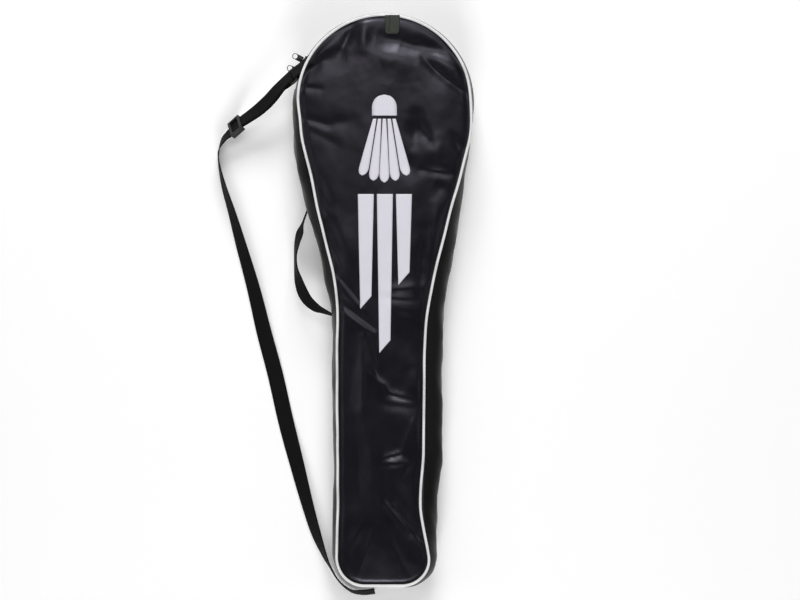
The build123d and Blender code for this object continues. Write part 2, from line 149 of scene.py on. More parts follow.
# Each fold runs from one point to another, with its half width and its height in
# millimetres, below zero for a valley. Blunt folds are soft swells, sharp ones creases.
BLUNT, SHARP = 1.0, 0.25
FOLDS = [
    ((-102, 30), (-76, 52), 9, -3.2, SHARP),
    ((-78, 50), (-45, 56), 13, -2.8, BLUNT),
    ((-99, 44), (-60, 74), 8, 1.8, BLUNT),
    ((-40, 92), (-52, 66), 9, -3.4, SHARP),
    ((-24, 96), (-26, 66), 7, 2.4, BLUNT),
    ((-10, 80), (20, 74), 13, -4.2, BLUNT),
    ((20, 74), (50, 62), 12, -4.6, BLUNT),
    ((46, 70), (84, 56), 9, -3.0, BLUNT),
    ((-8, 58), (40, 48), 12, 2.2, BLUNT),
    ((50, 52), (76, 28), 6, -3.0, SHARP),
    ((76, 28), (102, 9), 5, -2.6, SHARP),
    ((60, 58), (92, 38), 9, 2.2, BLUNT),
    ((40, -22), (40, -52), 10, -3.6, BLUNT),
    ((50, -40), (58, -52), 8, -2.8, SHARP),
    ((24, -72), (36, -88), 10, -2.4, BLUNT),
    ((62, -50), (68, -74), 13, 2.6, BLUNT),
    ((84, -42), (100, -60), 4, -2.0, SHARP),
    ((88, -52), (98, -68), 3.5, -1.6, SHARP),
    ((48, -86), (84, -92), 6, -2.8, SHARP),
    ((62, -104), (76, -112), 8, -1.8, BLUNT),
    ((-103, 17), (-80, 15), 3.5, -1.8, SHARP),
    ((-104, -20), (-70, -30), 5, -2.2, SHARP),
    ((-70, -30), (-42, -24), 8, -1.4, BLUNT),
    ((-98, -34), (-60, -54), 6, -1.0, SHARP),
    ((-84, -96), (-72, -128), 7, -2.4, BLUNT),
    ((-72, -156), (-54, -206), 8, -3.4, SHARP),
    ((-60, -150), (-38, -205), 12, 2.2, BLUNT),
    ((-60, -214), (-30, -252), 3.2, -2.0, SHARP),
    ((-58, -224), (-26, -262), 2.6, 1.6, SHARP),
    ((-54, -232), (-40, -256), 2.4, -1.6, SHARP),
    ((-54, -252), (-12, -284), 3.0, -2.6, SHARP),
    ((-52, -264), (-14, -290), 4.5, 1.8, SHARP),
    ((6, -236), (44, -232), 7, 2.4, SHARP),
    ((-4, -246), (40, -248), 5, -2.0, SHARP),
    ((8, -256), (30, -262), 6, 1.2, BLUNT),
    ((22, -262), (34, -330), 13, -3.0, BLUNT),
    ((52, -160), (46, -236), 7, -2.4, BLUNT),
    ((66, -130), (60, -190), 7, 2.0, BLUNT),
    ((-27, -296), (-27, -386), 7, 3.4, SHARP),
    ((-27, -386), (-12, -446), 9, 3.0, BLUNT),
    ((-12, -446), (-8, -512), 13, 3.2, BLUNT),
    ((-20, -300), (-8, -344), 8, -2.8, SHARP),
    ((-18, -340), (12, -366), 5, 1.8, SHARP),
    ((6, -366), (32, -372), 4, 2.4, SHARP),
    ((4, -378), (34, -382), 7, -2.2, BLUNT),
    ((2, -446), (22, -440), 3.5, 2.4, SHARP),
    ((22, -440), (36, -402), 4.5, 2.0, SHARP),
    ((0, -454), (24, -452), 5, -2.2, SHARP),
    ((24, -468), (40, -440), 5, -1.4, SHARP),
    ((-40, -330), (-46, -380), 7, -1.6, BLUNT),
    ((-38, -420), (-34, -500), 10, -2.2, BLUNT),
    ((2, -504), (44, -552), 3.5, -3.0, SHARP),
    ((14, -508), (48, -548), 4.5, 2.6, SHARP),
    ((12, -470), (36, -530), 13, -2.4, BLUNT),
    ((-26, -528), (-48, -566), 6, -1.4, BLUNT),
    ((-6, -530), (-4, -596), 16, 1.8, BLUNT),
    ((4, -540), (30, -590), 5, -1.0, SHARP),
    ((-14, -538), (-32, -592), 5, 1.0, SHARP),
]


def seam_distance(points):
    """How far each point of the plan is from the front seam."""
    nearest = np.empty(len(points))
    for start in range(0, len(points), 2000):
        part = points[start:start + 2000]
        gaps = part[:, None, :] - front_seam[None, :, :]
        nearest[start:start + 2000] = np.sqrt((gaps**2).sum(axis=2)).min(axis=1)
    return nearest


FOLD_TAPER = 1.1  # how far a fold runs on past its ends, in half widths
BLUNT_FALL, SHARP_FALL = 1.9, 1.5  # how fast its sides run out


def along_fold(points, fold):
    """The height that one fold adds at each point."""
    (x1, y1), (x2, y2), width, height, blunt = fold
    start = np.array([x1, y1]) / 1000
    run = np.array([x2, y2]) / 1000 - start
    length = np.linalg.norm(run)
    offset = points - start
    along = (offset @ run) / length
    beyond = np.maximum(np.maximum(-along, along - length), 0)
    aside = (offset[:, 0] * run[1] - offset[:, 1] * run[0]) / length
    width = width / 1000
    taper = np.exp(-((beyond / (FOLD_TAPER * width)) ** 2))
    inner = np.clip(along / length, 0, 1)
    taper = taper * (0.55 + 0.45 * np.sin(pi * inner))
    edge = blunt * width
    reach = (np.sqrt(aside**2 + edge**2) - edge) / width
    fall = BLUNT_FALL if blunt == BLUNT else SHARP_FALL
    return height / 1000 * np.exp(-reach * fall) * taper


SWELL, SHAFT_LESS = 0.0042, 0.0012  # the panel's swell at the head, and how much less below
SEAM_DIP, DIP_PLACE, DIP_WIDTH = 0.0009, 0.0045, 0.0026  # the groove beside the piping


def panel_height(points):
    """Height of the front panel above the seam: the swell, then folds, then small puckers."""
    y = points[:, 1]
    inward = seam_distance(points)
    swell = SWELL - SHAFT_LESS * ease(-y, 0.12, 0.30)
    height = swell * (1 - np.exp(-inward / 0.020))
    crease = sum(along_fold(points, fold) for fold in FOLDS)
    height += crease * (1 - np.exp(-inward / 0.0045))
    pucker = [
        1.1 * noise.noise(Vector((px * 21, py * 17, 4.2)))
        + 0.42 * noise.noise(Vector((px * 58 + 3, py * 46, 9.1)))
        + 0.12 * noise.noise(Vector((px * 150, py * 130, 2.6)))
        for px, py in points
    ]
    height += np.array(pucker) / 1000 * (1 - np.exp(-inward / 0.006))
    dip = np.exp(-(((inward - DIP_PLACE) / DIP_WIDTH) ** 2))
    return height - SEAM_DIP * dip


def cloth_mesh(name, points, faces, uv):
    """A smooth mesh from rows of points, with a map in metres called cloth."""
    mesh = bpy.data.meshes.new(name)
    mesh.from_pydata([tuple(p) for p in points], [], [tuple(int(i) for i in f) for f in faces])
    layer = mesh.uv_layers.new(name="cloth")
    for loop in mesh.loops:
        layer.data[loop.index].uv = uv[loop.vertex_index]
    piece = bpy.data.objects.new(name, mesh)
    bpy.context.scene.collection.objects.link(piece)
    for polygon in mesh.polygons:
        polygon.use_smooth = True
    return piece


def select_only(piece):
    bpy.ops.object.select_all(action="DESELECT")
    bpy.context.view_layer.objects.active = piece
    piece.select_set(True)


def apply_modifiers(piece):
    select_only(piece)
    for modifier in list(piece.modifiers):
        bpy.ops.object.modifier_apply(modifier=modifier.name)
    piece.select_set(False)


def face_out(piece):
    """Turns every face of a closed piece outwards."""
    select_only(piece)
    bpy.ops.object.mode_set(mode="EDIT")
    bpy.ops.mesh.select_all(action="SELECT")
    bpy.ops.mesh.normals_make_consistent(inside=False)
    bpy.ops.object.mode_set(mode="OBJECT")
    piece.select_set(False)


def thicken(piece, thickness, offset=-1.0):
    """Gives a sheet its real thickness, inwards from the face that shows."""
    modifier = piece.modifiers.new("thickness", "SOLIDIFY")
    modifier.thickness = thickness
    modifier.offset = offset
    modifier.use_even_offset = False
    apply_modifiers(piece)
    for polygon in piece.data.polygons:
        polygon.use_smooth = True


RINGS = 44
RING_EASE = 1.12  # closer rings near the seam


def panel_points(seam):
    """Rings of points from the seam to the bag's middle line, and their faces."""
    low, high = seam[:, 1].min(), seam[:, 1].max()
    places = [low, low + 0.05, 0.0, high]
    middle_y = np.interp(seam[:, 1], places, [low + 0.040, low + 0.062, 0.0, 0.050])
    middle = np.stack([panel_lean(middle_y), middle_y], axis=1)
    share = np.linspace(0, 1, RINGS) ** RING_EASE
    rows = [seam + (middle - seam) * s for s in share]
    points = np.concatenate(rows)
    faces = []
    for ring in range(RINGS - 1):
        for i in range(LOOP):
            j = (i + 1) % LOOP
            a, b = ring * LOOP + i, ring * LOOP + j
            faces.append((a, a + LOOP, b + LOOP, b))
    return points, faces


def weld(piece, distance=0.00002):
    """Merges doubled points."""
    shape = bmesh.new()
    shape.from_mesh(piece.data)
    bmesh.ops.remove_doubles(shape, verts=shape.verts, dist=distance)
    bmesh.ops.dissolve_degenerate(shape, edges=shape.edges, dist=distance)
    shape.to_mesh(piece.data)
    shape.free()


WAVE = 0.314  # a wave texture at scale 1 repeats about this often, in metres


def new_finish(name):
    """A material with its nodes, links and surface shader."""
    material = bpy.data.materials.new(name)
    material.use_nodes = True
    tree = material.node_tree
    return material, tree.nodes, tree.links, tree.nodes["Principled BSDF"]


def cloth(name, tone, gloss, thread, grain, shine=0.3, tint=0.25, gaps=0.5, cast=(1, 1, 1)):
    """Woven cloth: threads both ways at a spacing, painted shade darkening the colour in the gaps
    between threads, slow changes of tone, and a worn sheen.
    """
    material, nodes, links, surface = new_finish(name)
    place = nodes.new("ShaderNodeUVMap")
    place.uv_map = "cloth"
    threads = []
    for direction in ("X", "Y"):
        wave = nodes.new("ShaderNodeTexWave")
        wave.bands_direction = direction
        wave.inputs["Scale"].default_value = WAVE / thread
        links.new(place.outputs["UV"], wave.inputs["Vector"])
        threads.append(wave)
    weave = nodes.new("ShaderNodeMath")
    weave.operation = "MULTIPLY"
    links.new(threads[0].outputs["Fac"], weave.inputs[0])
    links.new(threads[1].outputs["Fac"], weave.inputs[1])
    body = nodes.new("ShaderNodeTexCoord")
    cloud = nodes.new("ShaderNodeTexNoise")
    cloud.inputs["Scale"].default_value = 24.0
    cloud.inputs["Detail"].default_value = 5.0
    links.new(body.outputs["Object"], cloud.inputs["Vector"])
    colour = nodes.new("ShaderNodeMix")
    colour.data_type = "RGBA"
    colour.inputs["A"].default_value = (*[c * (1 - tint) for c in tone], 1)
    colour.inputs["B"].default_value = (*[c * (1 + tint) for c in tone], 1)
    links.new(cloud.outputs["Fac"], colour.inputs["Factor"])
    # Painted shade: the colour is multiplied by the weave, darker in the gaps between threads, by the
    # share given in gaps.
    shade = nodes.new("ShaderNodeMix")
    shade.data_type = "RGBA"
    shade.blend_type = "MULTIPLY"
    shade.inputs["Factor"].default_value = gaps
    links.new(colour.outputs["Result"], shade.inputs["A"])
    links.new(weave.outputs["Value"], shade.inputs["B"])
    links.new(shade.outputs["Result"], surface.inputs["Base Color"])
    rough = nodes.new("ShaderNodeMapRange")
    rough.inputs["To Min"].default_value = gloss - 0.07
    rough.inputs["To Max"].default_value = gloss + 0.09
    links.new(cloud.outputs["Fac"], rough.inputs["Value"])
    links.new(rough.outputs["Result"], surface.inputs["Roughness"])
    bump = nodes.new("ShaderNodeBump")
    bump.inputs["Strength"].default_value = grain
    bump.inputs["Distance"].default_value = thread * 0.25
    links.new(weave.outputs["Value"], bump.inputs["Height"])
    links.new(bump.outputs["Normal"], surface.inputs["Normal"])
    surface.inputs["Specular IOR Level"].default_value = shine
    surface.inputs["Specular Tint"].default_value = (*cast, 1)
    return material


NYLON_THREAD = 0.0006
nylon_front = cloth(
    "nylon_front",
    (0.0030, 0.0027, 0.0046),
    0.345,
    NYLON_THREAD,
    0.16,
    shine=0.48,
    cast=(0.88, 0.84, 1.0),
)

panel_plan, panel_faces = panel_points(front_seam)
panel_z = SEAM_HEIGHT + panel_height(panel_plan)
panel_z[:LOOP] = SEAM_HEIGHT
front_panel = cloth_mesh(
    "front_panel_cloth",
    np.column_stack([panel_plan, panel_z]),
    panel_faces,
    panel_plan,
)
weld(front_panel)
thicken(front_panel, 0.0007)
front_panel.data.materials.append(nylon_front)
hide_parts("front_panel", "front_flap")


def across_the_fold(piece):
    """Bakes the piece's placement into its mesh."""
    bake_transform(piece)


across_the_fold(front_panel)

# ---------------------------------------------------------------------------------------
# PRINT. A silver-white film pressed on the nylon: a plain shuttlecock flying up the bag
# with three speed stripes behind it. It is thin enough to follow every crease below it.
PRINT_LIFT = 0.00035


def film(name, rows, columns=6):
    """A thin patch of print between a left and a right edge given row by row."""
    points = []
    for left, right in rows:
        for i in range(columns + 1):
            t = i / columns
            points.append((left[0] + (right[0] - left[0]) * t, left[1] + (right[1] - left[1]) * t))
    plan = np.array(points)
    height = SEAM_HEIGHT + panel_height(plan) + PRINT_LIFT
    faces = []
    for row in range(len(rows) - 1):
        for i in range(columns):
            a = row * (columns + 1) + i
            faces.append((a, a + columns + 1, a + columns + 2, a + 1))
    patch = cloth_mesh(name, np.column_stack([plan, height]), faces, plan)
    thicken(patch, 0.0002)
    patch.data.materials.append(print_white)
    return patch


# gaps=0.10 keeps the painted shade between the print's threads faint.
print_white = cloth(
    "print_white", (0.80, 0.78, 0.86), 0.42, NYLON_THREAD, 0.12, tint=0.05, gaps=0.10
)
PRINT_X = 0.0005


ROW_SPACING = 0.0022


def straight_rows(start, end, width_start, width_end, slant_end):
    """Rows of a bar from start to end, its lower end cut at a slant."""
    steps = max(3, int(abs(end[1] - start[1]) / ROW_SPACING))
    rows = []
    for i in range(steps + 1):
        t = i / steps
        x = start[0] + (end[0] - start[0]) * t
        y = start[1] + (end[1] - start[1]) * t
        width = width_start + (width_end - width_start) * t
        slant = slant_end * t
        rows.append(((x - width / 2, y - slant / 2), (x + width / 2, y + slant / 2)))
    return rows


# the cork: a dome on a straight base
cork_rows = []
for i in range(19):
    y = 0.0075 - 0.026 * i / 18
    dome = max(0.0, 1 - ((y + 0.0085) / 0.016) ** 2) ** 0.5 if y > -0.0085 else 1.0
    half = 0.0008 + 0.0147 * dome
    cork_rows.append(((PRINT_X - half, y), (PRINT_X + half, y)))
print_pieces = [film("print_cork", cork_rows)]

# five feathers, each a vane that widens to a rounded tip
for number, lean in enumerate((-2, -1, 0, 1, 2)):
    root = np.array([PRINT_X + lean * 0.0060, -0.0225])
    tip = np.array([PRINT_X + lean * 0.0138, -0.1020 + 0.0022 * lean**2])
    rows = []
    for i in range(37):
        t = i / 36
        centre = root + (tip - root) * t
        swell = 0.0021 + 0.0041 * min(1.0, t * 1.15) ** 0.9
        end = (1 - max(0.0, (t - 0.86) / 0.14) ** 2.2) ** 0.5
        half = swell * max(end, 0.06)
        rows.append(((centre[0] - half, centre[1]), (centre[0] + half, centre[1])))
    print_pieces.append(film(f"print_feather_{number + 1}", rows, columns=4))

# three speed stripes, cut at a slant, each shorter than the one beside it
STRIPE_TOP = -0.1165
STRIPE_WIDTH = 0.0200
STRIPE_NARROWED = STRIPE_WIDTH * 0.70
STRIPE_SLANT = 0.016
for number, (x, bottom) in enumerate(((-0.0232, -0.252), (0.0006, -0.307), (0.0244, -0.222))):
    place = PRINT_X + x
    stripe = straight_rows(
        (place, STRIPE_TOP), (place, bottom), STRIPE_WIDTH, STRIPE_NARROWED, STRIPE_SLANT
    )
    print_pieces.append(film(f"print_stripe_{number + 1}", stripe, columns=8))
for patch in print_pieces:
    across_the_fold(patch)

# ---------------------------------------------------------------------------------------
# PIPING. A soft cord wrapped in white coated nylon and caught in each seam, which gives
# the bag its edge. The cord wavers a little where the stitches pull it.
PIPING_RADIUS = 0.0017
CORD_WAVER = 0.0005


def piping_white_finish():
    material, nodes, links, surface = new_finish("piping_white")
    place = nodes.new("ShaderNodeTexCoord")
    grain = nodes.new("ShaderNodeTexNoise")
    grain.inputs["Scale"].default_value = 900.0
    grain.inputs["Detail"].default_value = 3.0
    marks = nodes.new("ShaderNodeTexNoise")
    marks.inputs["Scale"].default_value = 38.0
    marks.inputs["Detail"].default_value = 6.0
    for texture in (grain, marks):
        links.new(place.outputs["Object"], texture.inputs["Vector"])
    colour = nodes.new("ShaderNodeValToRGB")
    colour.color_ramp.elements[0].position = 0.30
    colour.color_ramp.elements[0].color = (0.70, 0.70, 0.70, 1)
    colour.color_ramp.elements[1].position = 0.55
    colour.color_ramp.elements[1].color = (0.86, 0.86, 0.86, 1)
    links.new(marks.outputs["Fac"], colour.inputs["Fac"])
    links.new(colour.outputs["Color"], surface.inputs["Base Color"])
    rough = nodes.new("ShaderNodeMapRange")
    rough.inputs["To Min"].default_value = 0.34
    rough.inputs["To Max"].default_value = 0.52
    links.new(marks.outputs["Fac"], rough.inputs["Value"])
    links.new(rough.outputs["Result"], surface.inputs["Roughness"])
    bump = nodes.new("ShaderNodeBump")
    bump.inputs["Strength"].default_value = 0.25
    bump.inputs["Distance"].default_value = 0.0002
    links.new(grain.outputs["Fac"], bump.inputs["Height"])
    links.new(bump.outputs["Normal"], surface.inputs["Normal"])
    return material


piping_white = piping_white_finish()


def closed_cord(name, plan, height, radius, sides=10):
    """A round cord along a closed plan line."""
    centre = np.column_stack([plan, np.full(len(plan), height)])
    for i, point in enumerate(centre):
        wobble = Vector(point) * 26
        centre[i, 2] += CORD_WAVER * noise.noise(wobble)
        centre[i, 0] += CORD_WAVER * noise.noise(wobble + Vector((7, 1, 3)))
    heading = np.roll(centre, -1, axis=0) - np.roll(centre, 1, axis=0)
    heading /= np.linalg.norm(heading, axis=1)[:, None]
    outward = np.cross(heading, [0, 0, 1.0])
    upward = np.cross(outward, heading)
    points, uv = [], []
    length = 0.0
    for i in range(len(centre)):
        length += float(np.linalg.norm(centre[i] - centre[i - 1])) if i else 0.0
        for side in range(sides):
            angle = 2 * pi * side / sides
            points.append(centre[i] + radius * (outward[i] * cos(angle) + upward[i] * sin(angle)))
            uv.append((length, radius * angle))
    faces = []
    for i in range(len(centre)):
        for side in range(sides):
            a, b = i * sides + side, i * sides + (side + 1) % sides
            on = ((i + 1) % len(centre) - i) * sides
            faces.append((a, a + on, b + on, b))
    piece = cloth_mesh(name, points, faces, uv)
    face_out(piece)
    piece.data.materials.append(piping_white)
    return piece


piping_front = closed_cord("piping_front_cord", front_seam, SEAM_HEIGHT, PIPING_RADIUS)
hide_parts("piping_front", "piping_flap")
across_the_fold(piping_front)
piping_back = closed_cord("piping_back_cord", seam_line, 0.0023, PIPING_RADIUS)
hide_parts("piping_back")
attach(piping_back, "case")

# ---------------------------------------------------------------------------------------
# BACK PANEL. The same nylon as the front, nearly flat because the bag lies on it.
nylon_side = cloth("nylon_side", (0.0050, 0.0050, 0.0050), 0.36, NYLON_THREAD, 0.2, shine=0.20)
back_plan, back_faces = panel_points(seam_line)
BACK_HEIGHT = 0.0023
back_share = np.repeat(np.linspace(0, 1, RINGS) ** RING_EASE, LOOP)
back_inward = np.minimum(1, back_share * 9)
ripple = [noise.noise(Vector((x * 30, y * 24, 1.5))) for x, y in back_plan]
back_z = 0.0007 + 0.0006 * np.array(ripple)
back_z = BACK_HEIGHT + (back_z - BACK_HEIGHT) * back_inward
back_panel = cloth_mesh(
    "back_panel_cloth",
    np.column_stack([back_plan, back_z]),
    [face[::-1] for face in back_faces],
    back_plan,
)
weld(back_panel)
thicken(back_panel, 0.0007)
back_panel.data.materials.append(nylon_front)
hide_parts("back_panel")
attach(back_panel, "case")

# ---------------------------------------------------------------------------------------
# GUSSET. Satin nylon between the two seams: one wall down both sides and round the foot,
# and two strips round the head with the zip between them. It is cut longer than it has
# to be, so it bellies out and wrinkles.
WALL_TOP = 0.0588
WALL_FOOT = 0.0036
ZIP_LOW = 0.0250
ZIP_HIGH = 0.0370
GUSSET_CLOTH = 0.0012


def wall_between(index, low, high, belly_low, belly_high, rows, sag):
    """Points up the wall at some places of the outline: foot, belly, top."""
    points, uv = [], []
    lengths = np.concatenate([[0], np.cumsum(np.linalg.norm(np.diff(belly_line, axis=0), axis=1))])
    for i in index:
        foot = np.array([seam_line[i, 0], seam_line[i, 1]])
        top = front_seam[i]
        lean = float(gusset_lean(belly_line[i, 0], belly_line[i, 1]))
        belly = belly_line[i] + [lean, 0]
        away = belly_line[i] - seam_line[i]
        away = away / max(np.linalg.norm(away), 1e-6)
        for row in range(rows + 1):
            t = row / rows
            z = low + (high - low) * t
            if z <= belly_low:
                part = (z - WALL_FOOT) / max(belly_low - WALL_FOOT, 1e-6)
                spot = foot + (belly - foot) * sin(part * pi / 2) ** 0.9
            elif z >= belly_high:
                part = (WALL_TOP - z) / max(WALL_TOP - belly_high, 1e-6)
                spot = top + (belly - top) * sin(max(part, 0) * pi / 2) ** 0.9
            else:
                spot = belly
            free = sin(pi * (z - WALL_FOOT) / (WALL_TOP - WALL_FOOT))
            x, y = belly_line[i]
            ripple = noise.noise(Vector((x * 16, y * 16, z * 20)))
            ripple += 0.45 * noise.noise(Vector((x * 45, y * 45, z * 60 + 5)))
            ripple += 0.55 * noise.noise(Vector((lengths[i] * 34 + z * 60, 7, 2)))
            spot = spot + away * sag * free * ripple
            points.append((spot[0], spot[1], z))
            uv.append((lengths[i], z))
    return points, uv


def wall_faces(columns, rows):
    faces = []
    for i in range(columns - 1):
        for row in range(rows):
            a = i * (rows + 1) + row
            faces.append((a, a + 1, a + rows + 2, a + rows + 1))
    return faces


angles = np.degrees(np.arctan2(belly_line[:, 1], belly_line[:, 0]))
order = list(range(LOOP))
ZIP_START, ZIP_END = -9.0, 172.0


def places_between(start, end):
    """Outline places whose direction from the head's centre is between two angles."""
    near_head = belly_line[:, 1] > -0.03
    found = [i for i in order if near_head[i] and start <= angles[i] <= end]
    return sorted(found, key=lambda i: -angles[i])


zip_places = places_between(ZIP_START, ZIP_END)
wall_places = [i for i in order if i not in zip_places[1:-1]]
turn = wall_places.index(zip_places[-1])
wall_places = wall_places[turn:] + wall_places[:turn]
WALL_ROWS = 26


def gusset_piece(name, index, low, high, rows, sag):
    points, uv = wall_between(index, low, high, ZIP_LOW, ZIP_HIGH, rows, sag)
    piece = cloth_mesh(name, points, wall_faces(len(index), rows), uv)
    thicken(piece, GUSSET_CLOTH)
    piece.data.materials.append(nylon_side)
    return piece


gusset_wall = gusset_piece("gusset_wall_cloth", wall_places, WALL_FOOT, WALL_TOP, WALL_ROWS, 0.0026)
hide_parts("gusset_body")
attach(gusset_wall, "case")
strip_back = gusset_piece("gusset_strip_back_cloth", zip_places, WALL_FOOT, ZIP_LOW, 10, 0.0012)
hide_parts("gusset_strip_back")
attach(strip_back, "case")
strip_front = gusset_piece("gusset_strip_front_cloth", zip_places, ZIP_HIGH, WALL_TOP, 10, 0.0008)
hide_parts("gusset_strip_flap", "gusset_strip_end")
across_the_fold(strip_front)

# ---------------------------------------------------------------------------------------
# WEBBING. Black woven strap, 20 mm wide, for the shoulder strap, its tab, the carry
# handle and the hanging loop. It is one flat ribbon each time, turned, folded and sewn.
WEB_WIDTH = 0.020
WEB_THICK = 0.0014


WARP = 0.0012


def webbing_finish(name, tone, rib):
    """Webbing: ribs across its width, finer warp threads along it, and fuzz all over."""
    material, nodes, links, surface = new_finish(name)
    place = nodes.new("ShaderNodeUVMap")
    place.uv_map = "cloth"
    ribs = nodes.new("ShaderNodeTexWave")
    ribs.bands_direction = "X"
    ribs.inputs["Scale"].default_value = WAVE / rib
    ribs.inputs["Distortion"].default_value = 0.6
    ribs.inputs["Detail Scale"].default_value = 4.0
    warp = nodes.new("ShaderNodeTexWave")
    warp.bands_direction = "Y"
    warp.inputs["Scale"].default_value = WAVE / WARP
    fuzz = nodes.new("ShaderNodeTexNoise")
    fuzz.inputs["Scale"].default_value = 2600.0
    for texture in (ribs, warp, fuzz):
        links.new(place.outputs["UV"], texture.inputs["Vector"])
    weave = nodes.new("ShaderNodeMath")
    weave.operation = "MULTIPLY"
    links.new(ribs.outputs["Fac"], weave.inputs[0])
    links.new(warp.outputs["Fac"], weave.inputs[1])
    mixed = nodes.new("ShaderNodeMath")
    mixed.operation = "MULTIPLY_ADD"
    mixed.inputs[1].default_value = 0.5
    links.new(fuzz.outputs["Fac"], mixed.inputs[0])
    links.new(weave.outputs["Value"], mixed.inputs[2])
    colour = nodes.new("ShaderNodeValToRGB")
    colour.color_ramp.elements[0].position = 0.15
    colour.color_ramp.elements[0].color = (*[c * 0.35 for c in tone], 1)
    colour.color_ramp.elements[1].position = 0.95
    colour.color_ramp.elements[1].color = (*[c * 1.9 for c in tone], 1)
    links.new(mixed.outputs["Value"], colour.inputs["Fac"])
    links.new(colour.outputs["Color"], surface.inputs["Base Color"])
    bump = nodes.new("ShaderNodeBump")
    bump.inputs["Strength"].default_value = 0.8
    bump.inputs["Distance"].default_value = 0.0003
    links.new(mixed.outputs["Value"], bump.inputs["Height"])
    links.new(bump.outputs["Normal"], surface.inputs["Normal"])
    surface.inputs["Roughness"].default_value = 0.70
    surface.inputs["Specular IOR Level"].default_value = 0.10
    return material


webbing_black = webbing_finish("webbing_black", (0.0048, 0.0050, 0.0047), 0.0011)
webbing_olive = webbing_finish("webbing_olive", (0.052, 0.056, 0.048), 0.0011)


def smooth_run(stations, spacing=0.002):
    """A smooth line through stations of any numbers, the first three being the place."""
    stations = np.array(stations, float)
    padded = np.vstack([2 * stations[0] - stations[1], stations, 2 * stations[-1] - stations[-2]])
    found = []
    for i in range(1, len(padded) - 2):
        p0, p1, p2, p3 = padded[i - 1 : i + 3]
        steps = max(2, int(np.linalg.norm((p2 - p1)[:3]) / spacing))
        for step in range(steps):
            t = step / steps
            found.append(
                0.5 * ((2 * p1) + (p2 - p0) * t + (2 * p0 - 5 * p1 + 4 * p2 - p3) * t * t
                       + (3 * p1 - p0 - 3 * p2 + p3) * t**3)
            )
    found.append(stations[-1])
    return np.array(found)


def headings(path):
    direction = np.gradient(path, axis=0)
    return direction / np.linalg.norm(direction, axis=1)[:, None]


def rolled(run):
    """Across-the-webbing directions for a run of (x, y, z, roll, width)."""
    heading = headings(run[:, :3])
    level = np.cross([0, 0, 1.0], heading)
    level /= np.linalg.norm(level, axis=1)[:, None]
    up = np.cross(heading, level)
    roll = np.radians(run[:, 3])[:, None]
    return level * np.cos(roll) + up * np.sin(roll)


def ribbon(name, path, across, width, thickness=WEB_THICK, finish=None):
    """A closed flat ribbon with softened edges along a path."""
    heading = headings(path)
    normal = np.cross(heading, across)
    normal /= np.linalg.norm(normal, axis=1)[:, None]
    edge = 0.0006
    points, uv = [], []
    length = 0.0
    shares = (-1.0, -0.6, -0.2, 0.2, 0.6, 1.0)
    for i in range(len(path)):
        length += float(np.linalg.norm(path[i] - path[i - 1])) if i else 0.0
        half = width[i] / 2
        section = [(-half, 0.0)]
        section += [(share * (half - edge), thickness / 2) for share in shares]
        section += [(half, 0.0)]
        section += [(share * (half - edge), -thickness / 2) for share in reversed(shares)]
        for a, b in section:
            points.append(path[i] + across[i] * a + normal[i] * b)
            uv.append((length, a))
    size = 14
    faces = [tuple(range(size - 1, -1, -1))]
    for i in range(len(path) - 1):
        for k in range(size):
            a, b = i * size + k, i * size + (k + 1) % size
            faces.append((a, b, b + size, a + size))
    faces.append(tuple((len(path) - 1) * size + k for k in range(size)))
    piece = cloth_mesh(name, points, faces, uv)
    face_out(piece)
    piece.data.materials.append(finish or webbing_black)
    return piece


# ---------------------------------------------------------------------------------------
# SHOULDER STRAP. It starts as a tail folded back over the ring's bar and held by the
# adjuster, runs down beside the bag half on its edge, and is sewn into the bottom seam.
RING_CENTRE = np.array([-0.1152, 0.0319, 0.0450])
STRAIGHT_END = np.array([-0.1975, -0.0378, 0.0095])
ALONG = (STRAIGHT_END - RING_CENTRE) / np.linalg.norm(STRAIGHT_END - RING_CENTRE)
STRAP_ROLL = 50.0
LEVEL = np.cross([0, 0, 1.0], ALONG)
LEVEL /= np.linalg.norm(LEVEL)
ACROSS = LEVEL * cos(radians(STRAP_ROLL)) + np.cross(ALONG, LEVEL) * sin(radians(STRAP_ROLL))
FACE = np.cross(ALONG, ACROSS)
RING_PITCH = 0.0085
WRAP_LENGTH, WRAP_DEPTH = 0.0033, 0.0024  # of the webbing's turn round a bar of the ring
ADJUSTER_PLACE = 0.0995
SLACK_START, SLACK_END = 0.020, 0.090
SLACK_BOW = 0.0034
SLACK_SIDE = np.array([-ALONG[1], ALONG[0], 0]) / np.hypot(ALONG[0], ALONG[1])


def strap_roll(along):
    """The webbing lies flatter half way along the slack length and stands up at the adjuster."""
    places = [0.008, 0.036, 0.056, 0.076, 0.092, 0.105]
    return float(np.interp(along, places, [STRAP_ROLL, 38, 37, 46, 56, 56]))


def strap_across(along):
    roll = radians(strap_roll(along))
    return LEVEL * cos(roll) + np.cross(ALONG, LEVEL) * sin(roll)


def strap_spot(along, out):
    """A point of the straight run: this far from the ring, this far off the lower layer."""
    return RING_CENTRE + ALONG * along + np.cross(ALONG, strap_across(along)) * out


def slack(point, along):
    """The point, moved towards the bag by the bow of the slack webbing."""
    share = np.clip((along - SLACK_START) / (SLACK_END - SLACK_START), 0, 1)
    return point + SLACK_BOW * sin(pi * share) * SLACK_SIDE


def resting(roll):
    """Height of the webbing's middle where it lies on the floor at a roll."""
    return WEB_WIDTH / 2 * sin(radians(roll)) + WEB_THICK / 2 * cos(radians(roll)) + 0.0002


